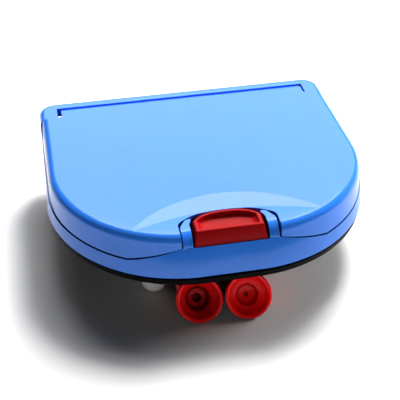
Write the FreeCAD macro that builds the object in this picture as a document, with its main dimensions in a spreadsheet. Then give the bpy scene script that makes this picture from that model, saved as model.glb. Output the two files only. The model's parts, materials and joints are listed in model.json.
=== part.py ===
import FreeCAD, Part
import math
import os
import Sketcher

os.makedirs("parts", exist_ok=True)
doc = FreeCAD.newDocument("contact_lens_case")
Vec = FreeCAD.Vector

# Driving sizes in millimetres. X runs across the case, Y from the front latch to the rear hinge,
# Z up from the table.
SIZES = {
    # shell outline
    "half_width": 57.7,
    "rear_half": 54.6,
    "widest_y": -5.0,
    "nose_low": 48.0,
    "nose_high": 43.0,
    "rear_y": 45.8,
    "corner_r": 4.0,
    "wall": 2.2,
    # levels
    "plate_low": 16.5,
    "plate_thick": 1.9,
    "base_low": 18.6,
    "floor_thick": 2.0,
    "seam": 24.2,
    "seam_front": 29.4,
    "seam_gap": 0.4,
    "rail_top": 32.8,
    "lid_top": 34.0,
    "lid_roof": 2.0,
    "lid_round": 4.2,
    # hinge
    "hinge_y": 36.4,
    "hinge_z": 30.9,
    "knuckle_r": 3.1,
    "knuckle_half": 48.2,
    "lug_gap": 0.5,
    "lug_front": 33.2,
    "pin_r": 1.0,
    "pin_run": 0.05,
    "pin_length": 8.4,
    # latch
    "vee_half": 34.2,
    "notch_half": 16.8,
    "post_in": 12.9,
    "post_out": 16.2,
    "post_rear": -41.2,
    "button_half": 12.2,
    "button_front": -46.6,
    "button_shoulder": -40.6,
    "button_back": -36.4,
    "button_low": 27.6,
    "button_gap": 0.8,
    "press_travel": 1.6,
    "bar_low": 23.4,
    "bar_thick": 1.8,
    "spring_r": 2.1,
    "wire_r": 0.35,
    "spring_y": -44.3,
    # insert
    "tray_top": 25.4,
    "well_x": 30.0,
    "well_y": -9.0,
    "well_r": 11.2,
    "well_bore": 8.8,
    "neck_r": 10.2,
    "cap_r": 12.6,
    "cap_top": 29.6,
    "slip": 0.3,
    # dock
    "dock_half": 31.0,
    "dock_front": -18.0,
    "dock_back": 30.0,
    "dock_low": 1.5,
    "foot_r": 4.2,
    "cup_r": 8.2,
    "cup_wall": 0.9,
    "cup_pitch": 36.0,
    "cup_y": -50.4,
    "cup_z": 7.0,
    "inserter_x": -10.9,
    "remover_x": 5.9,
    "bulb_r": 6.9,
    "bulb_z": 7.5,
    "stem_r": 4.5,
    "bottle_x": -24.0,
    "bottle_r": 4.6,
    "bottle_z": 5.3,
    "bottle_front": -36.0,
    "bottle_back": 2.0,
}

sheet = doc.addObject("Spreadsheet::Sheet", "Sizes")
for row, (alias, value) in enumerate(SIZES.items(), start=1):
    sheet.set("A%d" % row, alias)
    sheet.set("B%d" % row, repr(value))
    sheet.setAlias("B%d" % row, alias)
doc.recompute()


def size(alias):
    return float(sheet.get(alias))


def bind(obj, **expressions):
    """Bind properties to sheet expressions; a double underscore stands for the dot in a path."""
    for path, text in expressions.items():
        words = ["Sizes." + w if w in SIZES else w for w in text.split()]
        obj.setExpression(path.replace("__", "."), " ".join(words))


# ---------------------------------------------------------------- sketches
def new_body(name):
    body = doc.addObject("PartDesign::Body", name)
    body.Label = name
    return body


def new_sketch(body, role, level):
    sk = body.newObject("Sketcher::SketchObject", body.Name + "_sketch")
    plane = next(f for f in body.Origin.OriginFeatures if f.Role == role)
    sk.AttachmentSupport = [(plane, "")]
    sk.MapMode = "FlatFace"
    bind(sk, AttachmentOffset__Base__z=level)
    return sk


def chain(sk, pieces):
    """Add the pieces of one closed outline, joined end to end and held where they are drawn."""
    first = sk.GeometryCount
    for piece in pieces:
        sk.addGeometry(piece, False)
    for i in range(len(pieces)):
        sk.addConstraint(Sketcher.Constraint("Block", first + i))
    return sk


def polygon(points):
    pts = [Vec(x, y, 0) for x, y in points]
    return [Part.LineSegment(a, b) for a, b in zip(pts, pts[1:] + pts[:1])]


def box_outline(x_low, x_high, y_low, y_high):
    return polygon([(x_low, y_low), (x_high, y_low), (x_high, y_high), (x_low, y_high)])


def arc(cx, cy, r, start, end):
    return Part.ArcOfCircle(Part.Circle(Vec(cx, cy, 0), Vec(0, 0, 1), r), start, end)


def dee(half, nose, widest_y, rear_y, rear_half, corner):
    """Outline with a straight rear edge, slightly tapered sides and a rounded front."""
    taper = math.atan2(half - rear_half, rear_y - widest_y)
    cx = half - nose
    reach = math.cos(taper) * (cx + nose * math.cos(taper)) + math.sin(taper) * (
        widest_y + nose * math.sin(taper)
    )
    fy = rear_y - corner
    fx = (reach - corner - math.sin(taper) * fy) / math.cos(taper)
    side_low = Vec(cx + nose * math.cos(taper), widest_y + nose * math.sin(taper), 0)
    side_high = Vec(fx + corner * math.cos(taper), fy + corner * math.sin(taper), 0)
    front = widest_y - nose
    flip = lambda v: Vec(-v.x, v.y, 0)
    pieces = [
        Part.LineSegment(Vec(-cx, front, 0), Vec(cx, front, 0)),
        arc(cx, widest_y, nose, -math.pi / 2, taper),
        Part.LineSegment(side_low, side_high),
    ]
    if corner:
        pieces.append(arc(fx, fy, corner, taper, math.pi / 2))
    pieces.append(Part.LineSegment(Vec(fx, rear_y, 0), Vec(-fx, rear_y, 0)))
    if corner:
        pieces.append(arc(-fx, fy, corner, math.pi / 2, math.pi - taper))
    pieces.append(Part.LineSegment(flip(side_high), flip(side_low)))
    pieces.append(arc(-cx, widest_y, nose, math.pi - taper, 3 * math.pi / 2))
    return pieces


def shell_outline(level, inset=0.0, rear=None, square=False):
    """The shell's outline at a height: the nose draws back from the base's foot to the lid's top."""
    share = (level - size("base_low")) / (size("lid_top") - size("base_low"))
    nose = size("nose_low") + share * (size("nose_high") - size("nose_low"))
    half = size("half_width")
    rear = size("rear_y") if rear is None else rear
    taper = (half - size("rear_half")) / (size("rear_y") - size("widest_y"))
    rear_half = half - taper * (rear - size("widest_y"))
    corner = 0.0 if square else max(size("corner_r") - inset, 1.0)
    return dee(half - inset, nose - inset, size("widest_y"), rear - inset, rear_half - inset, corner)


def pad(body, sk, length, taper=None):
    feature = body.newObject("PartDesign::Pad", body.Name + "_pad")
    feature.Profile = sk
    bind(feature, Length=length)
    if taper:
        feature.TaperAngle = taper
    sk.Visibility = False
    return feature


def pocket(body, sk, length=None, back=False):
    """Cut from the sketch's plane against its normal, or along it when back is set."""
    feature = body.newObject("PartDesign::Pocket", body.Name + "_pocket")
    feature.Profile = sk
    feature.Reversed = back
    if length is None:
        feature.Type = "ThroughAll"
    else:
        bind(feature, Length=length)
    sk.Visibility = False
    return feature


def loft(body, low, *higher):
    feature = body.newObject("PartDesign::AdditiveLoft", body.Name + "_loft")
    feature.Profile = low
    feature.Sections = list(higher)
    feature.Ruled = True
    return feature


def round_edges(body, radius, keep):
    """Fillet the edges of the body's tip that the test picks out."""
    doc.recompute()
    tip = body.Tip
    names = ["Edge%d" % (i + 1) for i, e in enumerate(tip.Shape.Edges) if keep(e)]
    feature = body.newObject("PartDesign::Fillet", body.Name + "_fillet")
    feature.Base = (tip, names)
    bind(feature, Radius=radius)
    return feature


def revolve(body, points):
    """Revolution of a closed outline of (radius, height) points about the body's own Z axis."""
    sk = new_sketch(body, "XZ_Plane", "0")
    chain(sk, polygon(points))
    feature = body.newObject("PartDesign::Revolution", body.Name + "_turn")
    feature.Profile = sk
    feature.ReferenceAxis = (sk, ["V_Axis"])
    feature.Angle = 360.0
    sk.Visibility = False
    return feature


# ---------------------------------------------------------------- primitives
def block(name, x, y, z, length, width, height):
    obj = doc.addObject("Part::Box", name)
    bind(obj, Length=length, Width=width, Height=height)
    bind(obj, Placement__Base__x=x, Placement__Base__y=y, Placement__Base__z=z)
    return obj


TURNS = {
    "up": FreeCAD.Rotation(),
    "back": FreeCAD.Rotation(Vec(1, 0, 0), -90),
    "right": FreeCAD.Rotation(Vec(0, 1, 0), 90),
}


def rod(name, x, y, z, radius, height, way="up"):
    obj = doc.addObject("Part::Cylinder", name)
    obj.Placement = FreeCAD.Placement(Vec(0, 0, 0), TURNS[way])
    bind(obj, Radius=radius, Height=height)
    bind(obj, Placement__Base__x=x, Placement__Base__y=y, Placement__Base__z=z)
    return obj


def ball(name, x, y, z, radius):
    obj = doc.addObject("Part::Sphere", name)
    bind(obj, Radius=radius)
    bind(obj, Placement__Base__x=x, Placement__Base__y=y, Placement__Base__z=z)
    return obj


def fuse(name, *shapes):
    obj = doc.addObject("Part::MultiFuse", name)
    obj.Shapes = list(shapes)
    obj.Label = name
    return obj


def cut(name, base, tool):
    obj = doc.addObject("Part::Cut", name)
    obj.Base = base
    obj.Tool = tool
    obj.Label = name
    return obj


parts = []


def frame_shift():
    """How far the drawing moves back so that the whole object is centred front to back."""
    front = size("cup_y") - size("cup_r") * math.sin(math.radians(size("cup_pitch")))
    return -(front + size("rear_y")) / 2


def keep_part(obj):
    """Collect a finished sub-part and move it into the shared frame."""
    bound = {path.lstrip("."): text for path, text in obj.ExpressionEngine}
    if "Placement.Base.y" in bound:
        shifted = "%s + %.6f" % (bound["Placement.Base.y"], frame_shift())
        obj.setExpression("Placement.Base.y", shifted)
    else:
        spot = obj.Placement
        spot.Base.y += frame_shift()
        obj.Placement = spot
    parts.append(obj)


# ---------------------------------------------------------------- shell
FLOOR = "( base_low + floor_thick )"
SCREW_SPOTS = [(-42.0, 28.0), (42.0, 28.0), (-38.0, -26.0), (38.0, -26.0)]
DOCK_SPOTS = [(-24.0, 23.0), (24.0, 23.0), (24.0, -10.0), (-2.5, -10.0)]
GUIDE_SPOTS = [(-12.6, -24.5), (12.6, -24.5)]


def circles(sk, spots, radius):
    return chain(sk, [Part.Circle(Vec(x, y, 0), Vec(0, 0, 1), radius) for x, y in spots])


def make_base():
    body = new_body("base_shell")
    low = chain(new_sketch(body, "XY_Plane", "base_low"), shell_outline(size("base_low")))
    high = chain(new_sketch(body, "XY_Plane", "rail_top"), shell_outline(size("rail_top")))
    loft(body, low, high)
    lug_in = size("knuckle_half") + size("lug_gap")
    depth = "rail_top - base_low - floor_thick"
    inner = dee(
        size("half_width") - size("wall"),
        size("nose_low") - 3.4 - size("wall"),
        size("widest_y"),
        size("lug_front") - size("wall"),
        size("rear_half") - size("wall") + 0.6,
        1.5,
    )
    pocket(body, chain(new_sketch(body, "XY_Plane", "rail_top"), inner), depth)
    bay = box_outline(-lug_in, lug_in, 20.0, size("hinge_y") + size("knuckle_r") + 0.3)
    pocket(body, chain(new_sketch(body, "XY_Plane", "rail_top"), bay), depth)
    # the wall's top edge: level at the sides, rising to the latch, low under the button
    vee, post_out, post_in = size("vee_half"), size("post_out"), size("post_in")
    seam, brow, over = size("seam"), size("seam_front"), size("lid_top") + 10.0
    edge = new_sketch(body, "XZ_Plane", "-1 * lug_front")
    flank = [(post_out, over), (post_out, brow), (vee, seam), (90.0, seam), (90.0, over)]
    chain(edge, polygon(flank))
    chain(edge, polygon([(-x, z) for x, z in reversed(flank)]))
    chain(edge, box_outline(-post_in, post_in, size("button_low") - 0.4, over))
    pocket(body, edge, back=True)
    posts = new_sketch(body, "XY_Plane", "base_low + 1")
    chain(posts, box_outline(post_in, post_out, -47.4, size("post_rear")))
    chain(posts, box_outline(-post_out, -post_in, -47.4, size("post_rear")))
    pad(body, posts, "rail_top - base_low - 1")
    boss = new_sketch(body, "XY_Plane", "base_low + 1")
    circles(boss, [(0.0, size("spring_y"))], 1.0)
    pad(body, boss, "floor_thick + 1.6")
    under = new_sketch(body, "XY_Plane", "base_low")
    circles(under, SCREW_SPOTS + DOCK_SPOTS, 1.5)
    pocket(body, under, "floor_thick - 0.4", back=True)
    top = new_sketch(body, "XY_Plane", "base_low + floor_thick")
    circles(top, GUIDE_SPOTS, 1.15)
    pocket(body, top, "floor_thick - 0.5")
    for side, back in ((1, False), (-1, True)):
        bore = new_sketch(body, "YZ_Plane", "%d * ( knuckle_half + lug_gap + 4.2 )" % side)
        circles(bore, [(size("hinge_y"), size("hinge_z"))], size("pin_r"))
        pocket(body, bore, "4.2 + lug_gap", back=back)
    keep_part(body)


def make_plate():
    body = new_body("bottom_plate")
    outline = dee(55.6, 47.6, size("widest_y"), size("rear_y") - 1.6, 53.0, size("corner_r"))
    sk = chain(new_sketch(body, "XY_Plane", "plate_low"), outline)
    pad(body, sk, "plate_thick")
    heads = new_sketch(body, "XY_Plane", "plate_low")
    circles(heads, SCREW_SPOTS, 2.7)
    pocket(body, heads, "plate_thick - 0.8", back=True)
    shanks = new_sketch(body, "XY_Plane", "plate_low")
    circles(shanks, SCREW_SPOTS + DOCK_SPOTS, 1.6)
    pocket(body, shanks, "plate_thick + 1", back=True)
    keep_part(body)


def make_lid():
    body = new_body("lid")
    foot = size("seam") + size("seam_gap")
    draw = 1.2
    top, roll_r = size("lid_top"), size("lid_round")
    levels = [("seam + seam_gap", foot, 0.0)]
    for step in range(5):
        turn = math.radians(22.5 * step)
        drop = roll_r * (1 - math.sin(turn))
        levels.append(("lid_top - %.3f" % drop, top - drop, draw + roll_r * (1 - math.cos(turn))))
    rings = []
    for text, level, inset in levels:
        outline = shell_outline(level, inset, 60.0 + inset, True)
        rings.append(chain(new_sketch(body, "XY_Plane", text), outline))
    loft(body, *rings)
    knuckle = size("knuckle_half")
    shoulder = size("lug_front") - 0.8
    ears = new_sketch(body, "XY_Plane", "lid_top + 1")
    past = size("hinge_y")
    tab = [(-70.0, shoulder), (-knuckle, shoulder), (-knuckle, past), (knuckle, past)]
    chain(ears, polygon(tab + [(knuckle, shoulder), (70.0, shoulder), (70.0, 70.0), (-70.0, 70.0)]))
    pocket(body, ears)
    under = "seam + seam_gap"
    skirt = shell_outline(28.0, size("wall") + 0.45, shoulder)
    sk = chain(new_sketch(body, "XY_Plane", under), skirt)
    pocket(body, sk, "28 - seam - seam_gap", back=True)
    roof = shell_outline(top, draw + 2.6, shoulder + 1.4)
    sk = chain(new_sketch(body, "XY_Plane", under), roof)
    pocket(body, sk, "lid_top - lid_roof - seam - seam_gap", back=True)
    reach = size("hinge_y") - size("knuckle_r")
    bay = box_outline(-knuckle + 2.2, knuckle - 2.2, 20.0, reach)
    sk = chain(new_sketch(body, "XY_Plane", under), bay)
    pocket(body, sk, "lid_top - lid_roof - seam - seam_gap", back=True)
    heel = box_outline(-knuckle - 1.0, knuckle + 1.0, reach - 0.4, 60.0)
    sk = chain(new_sketch(body, "XY_Plane", under), heel)
    pocket(body, sk, "hinge_z - seam - seam_gap", back=True)
    vee, notch = size("vee_half"), size("notch_half")
    brow = size("seam_front") + size("seam_gap")
    edge = new_sketch(body, "XZ_Plane", "30")
    line = [(-vee, foot), (-vee, 10.0), (vee, 10.0), (vee, foot), (notch, brow), (-notch, brow)]
    chain(edge, polygon(line))
    pocket(body, edge, back=True)
    mouth = new_sketch(body, "XY_Plane", "lid_top + 1")
    shoulder_y = size("button_shoulder") + 0.4
    chain(mouth, nose_outline(notch, -70.0, shoulder_y, size("button_half") + 1.0, size("button_gap")))
    pocket(body, mouth)
    roll = new_sketch(body, "YZ_Plane", "-1 * knuckle_half")
    circles(roll, [(size("hinge_y"), size("hinge_z"))], size("knuckle_r"))
    pad(body, roll, "2 * knuckle_half")
    for side, back in ((1, False), (-1, True)):
        bore = new_sketch(body, "YZ_Plane", "%d * knuckle_half" % side)
        circles(bore, [(size("hinge_y"), size("hinge_z"))], size("pin_r") + size("pin_run"))
        pocket(body, bore, "4.2", back=back)
    keep_part(body)


def nose_outline(half, front, shoulder, arc_half, gap):
    """A slot outline whose rear end bows back around the button."""
    rise = size("button_back") + gap - shoulder
    r = (arc_half**2 + rise**2) / (2 * rise)
    cy = shoulder + rise - r
    lean = math.asin(arc_half / r)
    pieces = [
        Part.LineSegment(Vec(-half, front, 0), Vec(half, front, 0)),
        Part.LineSegment(Vec(half, front, 0), Vec(half, shoulder, 0)),
    ]
    if half > arc_half:
        pieces.append(Part.LineSegment(Vec(half, shoulder, 0), Vec(arc_half, shoulder, 0)))
    pieces.append(arc(0.0, cy, r, math.pi / 2 - lean, math.pi / 2 + lean))
    if half > arc_half:
        pieces.append(Part.LineSegment(Vec(-arc_half, shoulder, 0), Vec(-half, shoulder, 0)))
    pieces.append(Part.LineSegment(Vec(-half, shoulder, 0), Vec(-half, front, 0)))
    return pieces


def make_pin(name, side):
    start = "knuckle_half - 4" if side > 0 else "-1 * ( knuckle_half - 4 ) - pin_length"
    pin = rod(name, start, "hinge_y", "hinge_z", "pin_r", "pin_length", "right")
    pin.Label = name
    keep_part(pin)


# ---------------------------------------------------------------- latch
def make_button():
    body = new_body("latch_button")
    half = size("button_half")
    sk = new_sketch(body, "XY_Plane", "button_low")
    chain(sk, nose_outline(half, size("button_front"), size("button_shoulder"), half, 0.0))
    pad(body, sk, "lid_top - button_low")
    dish = body.newObject("PartDesign::SubtractiveEllipsoid", "button_dish")
    dish.Radius1 = 1.9
    dish.Radius2 = 9.6
    dish.Radius3 = 3.6
    dish.Placement = FreeCAD.Placement(Vec(0, -40.9, size("lid_top")), FreeCAD.Rotation())
    low = size("button_low")
    prong = [(-45.5, low + 0.2), (-37.8, low + 0.2), (-41.4, low - 3.4), (-45.5, low - 3.4)]
    for start in (3.6, -6.6):
        sk = chain(new_sketch(body, "YZ_Plane", "%.1f" % start), polygon(prong))
        pad(body, sk, "3")
    keep_part(body)


def make_spring():
    low = size("base_low") + size("floor_thick") + 0.3 + size("wire_r")
    height = size("button_low") - 0.3 - size("wire_r") - low
    turns = 4.0
    helix = Part.makeHelix(height / turns, height, size("spring_r") - size("wire_r"))
    start = Vec(size("spring_r") - size("wire_r"), 0, 0)
    ring = Part.Wire(Part.Circle(start, Vec(0, 1, 0), size("wire_r")).toShape())
    coil = Part.Wire(helix).makePipeShell([ring], True, True)
    spring = doc.addObject("Part::Feature", "button_spring")
    spring.Label = "button_spring"
    spring.Shape = coil
    spring.Placement = FreeCAD.Placement(Vec(0, size("spring_y"), low), FreeCAD.Rotation())
    keep_part(spring)


def make_latch_bar():
    body = new_body("latch_bar")
    low, high = size("bar_low"), size("bar_low") + size("bar_thick")
    ramp = [(-41.8, low), (-28.2, low), (-28.2, high), (-41.8 + high - low, high)]
    sk = chain(new_sketch(body, "YZ_Plane", "-8"), polygon(ramp))
    pad(body, sk, "16")
    sk = new_sketch(body, "XY_Plane", "bar_low + bar_thick")
    chain(sk, box_outline(-5.6, 5.6, -36.4, -32.3))
    pocket(body, sk, "bar_thick + 1")
    keep_part(body)


def make_guide():
    pieces = []
    for side in (1, -1):
        wall_x, lip_x = ("8.3", "6.4") if side > 0 else ("-10.6", "-8.4")
        pieces.append(block("guide_wall", wall_x, "-36", FLOOR + " + 0.3", "2.3", "13", "5.6"))
        pieces.append(block("guide_lip", lip_x, "-36", "bar_low + bar_thick + slip", "2", "7", "1"))
        pieces.append(block("guide_shelf", lip_x, "-36", FLOOR + " + 0.3", "2", "7", "2.2"))
    pieces.append(block("guide_bridge", "-14.8", "-26.4", FLOOR + " + 0.3", "29.6", "3.8", "5.6"))
    whole = fuse("guide_whole", *pieces)
    shanks = [rod("guide_hole", str(x), str(y), "base_low", "1.15", "20") for x, y in GUIDE_SPOTS]
    guide = cut("latch_guide", whole, fuse("guide_holes", *shanks))
    keep_part(guide)


def make_catch():
    flange = block("catch_flange", "-9", "-34.8", "lid_top - lid_roof - 1", "18", "4.6", "0.8")
    tongue = block("catch_tongue", "-4.8", "-34", "bar_low - 1.8", "9.6", "1.4", "lid_top - lid_roof - bar_low + 1")
    lip = block("catch_lip", "-4.8", "-32.7", "bar_low - 1.8", "9.6", "1.5", "1.5")
    keep_part(fuse("lid_catch", flange, tongue, lip))


# ---------------------------------------------------------------- mirror
def mirror_outline(half, rear):
    return dee(half, half - 16.5, 2.0, rear, half - 1.0, 5.0)


def make_mirror():
    body = new_body("mirror")
    sk = chain(new_sketch(body, "XY_Plane", "lid_top - lid_roof - 1.3"), mirror_outline(46.0, 28.0))
    pad(body, sk, "1")
    keep_part(body)
    frame = new_body("mirror_frame")
    sk = chain(new_sketch(frame, "XY_Plane", "lid_top - lid_roof - 2"), mirror_outline(48.0, 29.6))
    pad(frame, sk, "1.8")
    sk = new_sketch(frame, "XY_Plane", "lid_top - lid_roof")
    chain(sk, mirror_outline(46.3, 28.3))
    pocket(frame, sk, "1.6")
    sk = new_sketch(frame, "XY_Plane", "lid_top - lid_roof")
    chain(sk, mirror_outline(44.8, 27.0))
    pocket(frame, sk, "3")
    keep_part(frame)


# ---------------------------------------------------------------- insert
def make_tray():
    body = new_body("inner_tray")
    outline = dee(54.2, 41.6, size("widest_y"), size("lug_front") - 3.9, 51.4, 1.5)
    sk = chain(new_sketch(body, "XY_Plane", "base_low + floor_thick + slip"), outline)
    pad(body, sk, "tray_top - base_low - floor_thick - slip")
    sk = chain(new_sketch(body, "XY_Plane", "tray_top"), box_outline(-17.0, 17.0, -60.0, -22.2))
    pocket(body, sk)
    spots = [(-size("well_x"), size("well_y")), (size("well_x"), size("well_y"))]
    sk = circles(new_sketch(body, "XY_Plane", "tray_top"), spots, size("well_r") + size("slip"))
    pocket(body, sk)
    sk = chain(new_sketch(body, "XY_Plane", "tray_top"), box_outline(-41.0, 42.0, 7.6, 18.4))
    pocket(body, sk, "tray_top - base_low - floor_thick - slip - 1")
    sk = chain(new_sketch(body, "XY_Plane", "tray_top"), box_outline(-32.0, 32.0, 20.8, 28.2))
    pocket(body, sk, "tray_top - base_low - floor_thick - slip - 1")
    keep_part(body)


def make_well(hand, x):
    low = size("base_low") + size("floor_thick") + size("slip")
    out, bore, neck, cap = size("well_r"), size("well_bore"), size("neck_r"), size("cap_r")
    rest, top = size("tray_top") + 0.2, size("cap_top")
    spot = FreeCAD.Placement(Vec(x, size("well_y"), 0), FreeCAD.Rotation())
    well = new_body("lens_well_" + hand)
    flange = [(out, low), (out, rest), (out + 1.0, rest), (out + 1.0, rest + 0.7), (neck, rest + 0.7)]
    hollow = [(neck, top - 1.4), (bore, top - 1.4), (bore, low + 2.2), (bore - 1.6, low + 1.1)]
    revolve(well, [(0.0, low)] + flange + hollow + [(0.0, low + 1.0)])
    cover = new_body("well_cap_" + hand)
    skirt = [(neck + 0.3, rest + 1.0), (cap, rest + 1.0), (cap, top), (0.0, top)]
    revolve(cover, skirt + [(0.0, top - 0.7), (neck + 0.3, top - 0.7)])
    seal = new_body("cap_seal_" + hand)
    revolve(seal, [(0.0, top - 1.25), (neck, top - 1.25), (neck, top - 0.85), (0.0, top - 0.85)])
    for body in (well, cover, seal):
        body.Placement = spot
        keep_part(body)


def make_tweezers():
    body = new_body("tweezers")
    outline = [(-39, 9.8), (34, 11.4), (34, 12.5), (-31, 11.4), (-31, 14.6), (34, 13.5), (34, 14.6), (-39, 16.2)]
    sk = chain(new_sketch(body, "XY_Plane", "tray_top - 3.2"), polygon(outline))
    pad(body, sk, "4")
    keep_part(body)
    tips = [
        block("tip_near", "34.3", "11", "tray_top - 3.3", "6", "1.7", "4.2"),
        block("tip_far", "34.3", "13.3", "tray_top - 3.3", "6", "1.7", "4.2"),
    ]
    keep_part(fuse("tweezer_tips", *tips))


def make_stick():
    shaft = rod("applicator_stick", "-29", "24.5", "tray_top - 0.5", "2.1", "51", "right")
    shaft.Label = "applicator_stick"
    keep_part(shaft)
    sleeve = rod("applicator_sleeve", "22.3", "24.5", "tray_top - 0.5", "2.7", "4.6", "right")
    dome = ball("applicator_dome", "26.9", "24.5", "tray_top - 0.5", "2.7")
    keep_part(fuse("applicator_tip", sleeve, dome))


# ---------------------------------------------------------------- dock and what it holds
def make_dock():
    body = new_body("accessory_dock")
    half, front, back = size("dock_half"), size("dock_front"), size("dock_back")
    sk = chain(new_sketch(body, "XY_Plane", "dock_low"), box_outline(-half, half, front, back))
    pad(body, sk, "plate_low - dock_low - slip")
    round_edges(body, "corner_r", lambda e: abs(e.tangentAt(e.FirstParameter).z) > 0.99)
    stems = new_sketch(body, "XZ_Plane", "-1 * dock_front")
    spots = [(size("inserter_x"), size("bulb_z")), (size("remover_x"), size("bulb_z"))]
    pocket(body, circles(stems, spots, size("stem_r") + size("slip")), "24")
    bottle = new_sketch(body, "XZ_Plane", "-1 * dock_front")
    spots = [(size("bottle_x"), size("bottle_z"))]
    circles(bottle, spots, size("bottle_r") + size("slip"))
    pocket(body, bottle, "bottle_back - dock_front + 13")
    heads = circles(new_sketch(body, "XY_Plane", "dock_low"), DOCK_SPOTS, 2.7)
    pocket(body, heads, "plate_low - dock_low - 3.2", back=True)
    shanks = circles(new_sketch(body, "XY_Plane", "dock_low"), DOCK_SPOTS, 1.6)
    pocket(body, shanks, back=True)
    keep_part(body)
    spots = {
        "rear_left": ("6.5 - dock_half", "dock_back - 7"),
        "rear_right": ("dock_half - 6.5", "dock_back - 7"),
        "front_left": ("inserter_x", "dock_front + 6"),
        "front_right": ("dock_half - 6.5", "dock_front + 6"),
    }
    for name, (x, y) in spots.items():
        foot = rod("foot_" + name, x, y, "0", "foot_r", "dock_low - slip")
        foot.Label = "foot_" + name
        keep_part(foot)


def ring(name, x, y, z, radius, turn):
    obj = doc.addObject("Part::Circle", name)
    obj.Placement = FreeCAD.Placement(Vec(0, 0, 0), FreeCAD.Rotation(Vec(1, 0, 0), turn))
    bind(obj, Radius=radius)
    bind(obj, Placement__Base__x=x, Placement__Base__y=y, Placement__Base__z=z)
    return obj


def cone(name, x, depth, low_r, high_r, height):
    """A cone cut into the cup from the given depth below its rim, along the cup's own axis."""
    pitch = math.radians(size("cup_pitch"))
    obj = doc.addObject("Part::Cone", name)
    obj.Radius1 = low_r
    obj.Radius2 = high_r
    obj.Height = height
    obj.Placement = FreeCAD.Placement(
        Vec(
            x,
            size("cup_y") + depth * math.cos(pitch),
            size("cup_z") - depth * math.sin(pitch),
        ),
        FreeCAD.Rotation(Vec(1, 0, 0), -90 - size("cup_pitch")),
    )
    return obj


def make_cup(name, across, steps):
    """A soft suction cup whose mouth looks forward and up, on a level bulb and stem."""
    pitch = size("cup_pitch")
    mouth = ring(name + "_mouth", across, "cup_y", "cup_z", "cup_r", -90 - pitch)
    heel = ring(name + "_heel", across, "cup_y + 7", "bulb_z", "bulb_r", -90)
    bell = doc.addObject("Part::Loft", name + "_bell")
    bell.Sections = [mouth, heel]
    bell.Solid = True
    bell.Ruled = True
    bulb = rod(name + "_bulb", across, "cup_y + 6.9", "bulb_z", "bulb_r", "18", "back")
    stem = rod(name + "_stem", across, "cup_y + 24", "bulb_z", "stem_r", "31", "back")
    whole = fuse(name + "_whole", bell, bulb, stem)
    tools = []
    depth = -0.1
    for low_r, high_r, height in steps:
        tools.append(cone(name + "_dish", size(across), depth, low_r, high_r, height + 0.1))
        depth += height
    keep_part(cut(name, whole, fuse(name + "_hollow", *tools)))


def make_bottle():
    x, z = "bottle_x", "bottle_z"
    dome = ball("bottle_dome", x, "bottle_front + bottle_r", z, "bottle_r")
    tube = rod("bottle_tube", x, "bottle_front + bottle_r", z, "bottle_r", "bottle_back - bottle_front - bottle_r", "back")
    neck = rod("bottle_neck", x, "bottle_back - 0.5", z, "3", "2.5", "back")
    keep_part(fuse("drop_bottle", dome, tube, neck))
    plug = rod("nozzle_plug", x, "bottle_back + 2.3", z, "2.6", "1.6", "back")
    spout = rod("nozzle_spout", x, "bottle_back + 3.8", z, "1.2", "4.6", "back")
    keep_part(fuse("bottle_nozzle", plug, spout))
    outer = rod("cap_outer", x, "bottle_back + 0.3", z, "bottle_r - 0.2", "11", "back")
    inner = rod("cap_inner", x, "bottle_back + 0.1", z, "3.3", "9.8", "back")
    keep_part(cut("bottle_cap", outer, inner))


def make_screws(name, spots, low, head_r, head, shank_r, length):
    pieces = []
    for x, y in spots:
        pieces.append(rod(name + "_head", str(x), str(y), low, head_r, head))
        pieces.append(rod(name + "_shank", str(x), str(y), low, shank_r, length))
    keep_part(fuse(name, *pieces))


make_base()
make_plate()
make_lid()
make_pin("hinge_pin_left", -1)
make_pin("hinge_pin_right", 1)
make_button()
make_spring()
make_latch_bar()
make_guide()
make_catch()
make_mirror()
make_tray()
make_well("left", -size("well_x"))
make_well("right", size("well_x"))
make_tweezers()
make_stick()
make_dock()
make_cup("suction_inserter", "inserter_x", [(7.3, 4.4, 3.2), (4.2, 3.9, 1.2), (1.8, 1.5, 2.4)])
make_cup("suction_remover", "remover_x", [(7.3, 4.2, 2.4), (4.0, 0.6, 0.9)])
make_bottle()
make_screws("base_screws", SCREW_SPOTS, "plate_low + 0.2", "2.4", "0.8", "1.2", "3.4")
make_screws("dock_screws", DOCK_SPOTS, "plate_low - 4.6", "2.4", "1.2", "1.2", "8.2")
make_screws("guide_screws", GUIDE_SPOTS, "base_low + 1", "0.9", "7.4", "0.9", "7.4")

doc.recompute()
for obj in doc.Objects:
    bad = [s for s in obj.State if s in ("Invalid", "Error")]
    if bad:
        raise RuntimeError("%s is %s" % (obj.Label, ", ".join(bad)))
for obj in parts:
    if obj.Shape.isNull() or not obj.Shape.isValid() or not obj.Shape.Solids:
        raise RuntimeError("%s has no valid solid" % obj.Label)
    print("%-20s solids %d volume %.1f" % (obj.Label, len(obj.Shape.Solids), obj.Shape.Volume))
    obj.Shape.exportStep("parts/%s.step" % obj.Label)
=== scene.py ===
# %% [markdown]
# # A contact lens case
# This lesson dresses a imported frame: a D-shaped blue lens case with a red push button at the front,
# a black plate and dock under it, and two red suction cups stored in the dock. The frame already
# holds every part at its true size. Here all of them but the hinge pins and the spring are modelled
# again with softer edges and fuller curves, and every part gets a finish of its own.

# %% Load the frame
import json
import math

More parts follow.
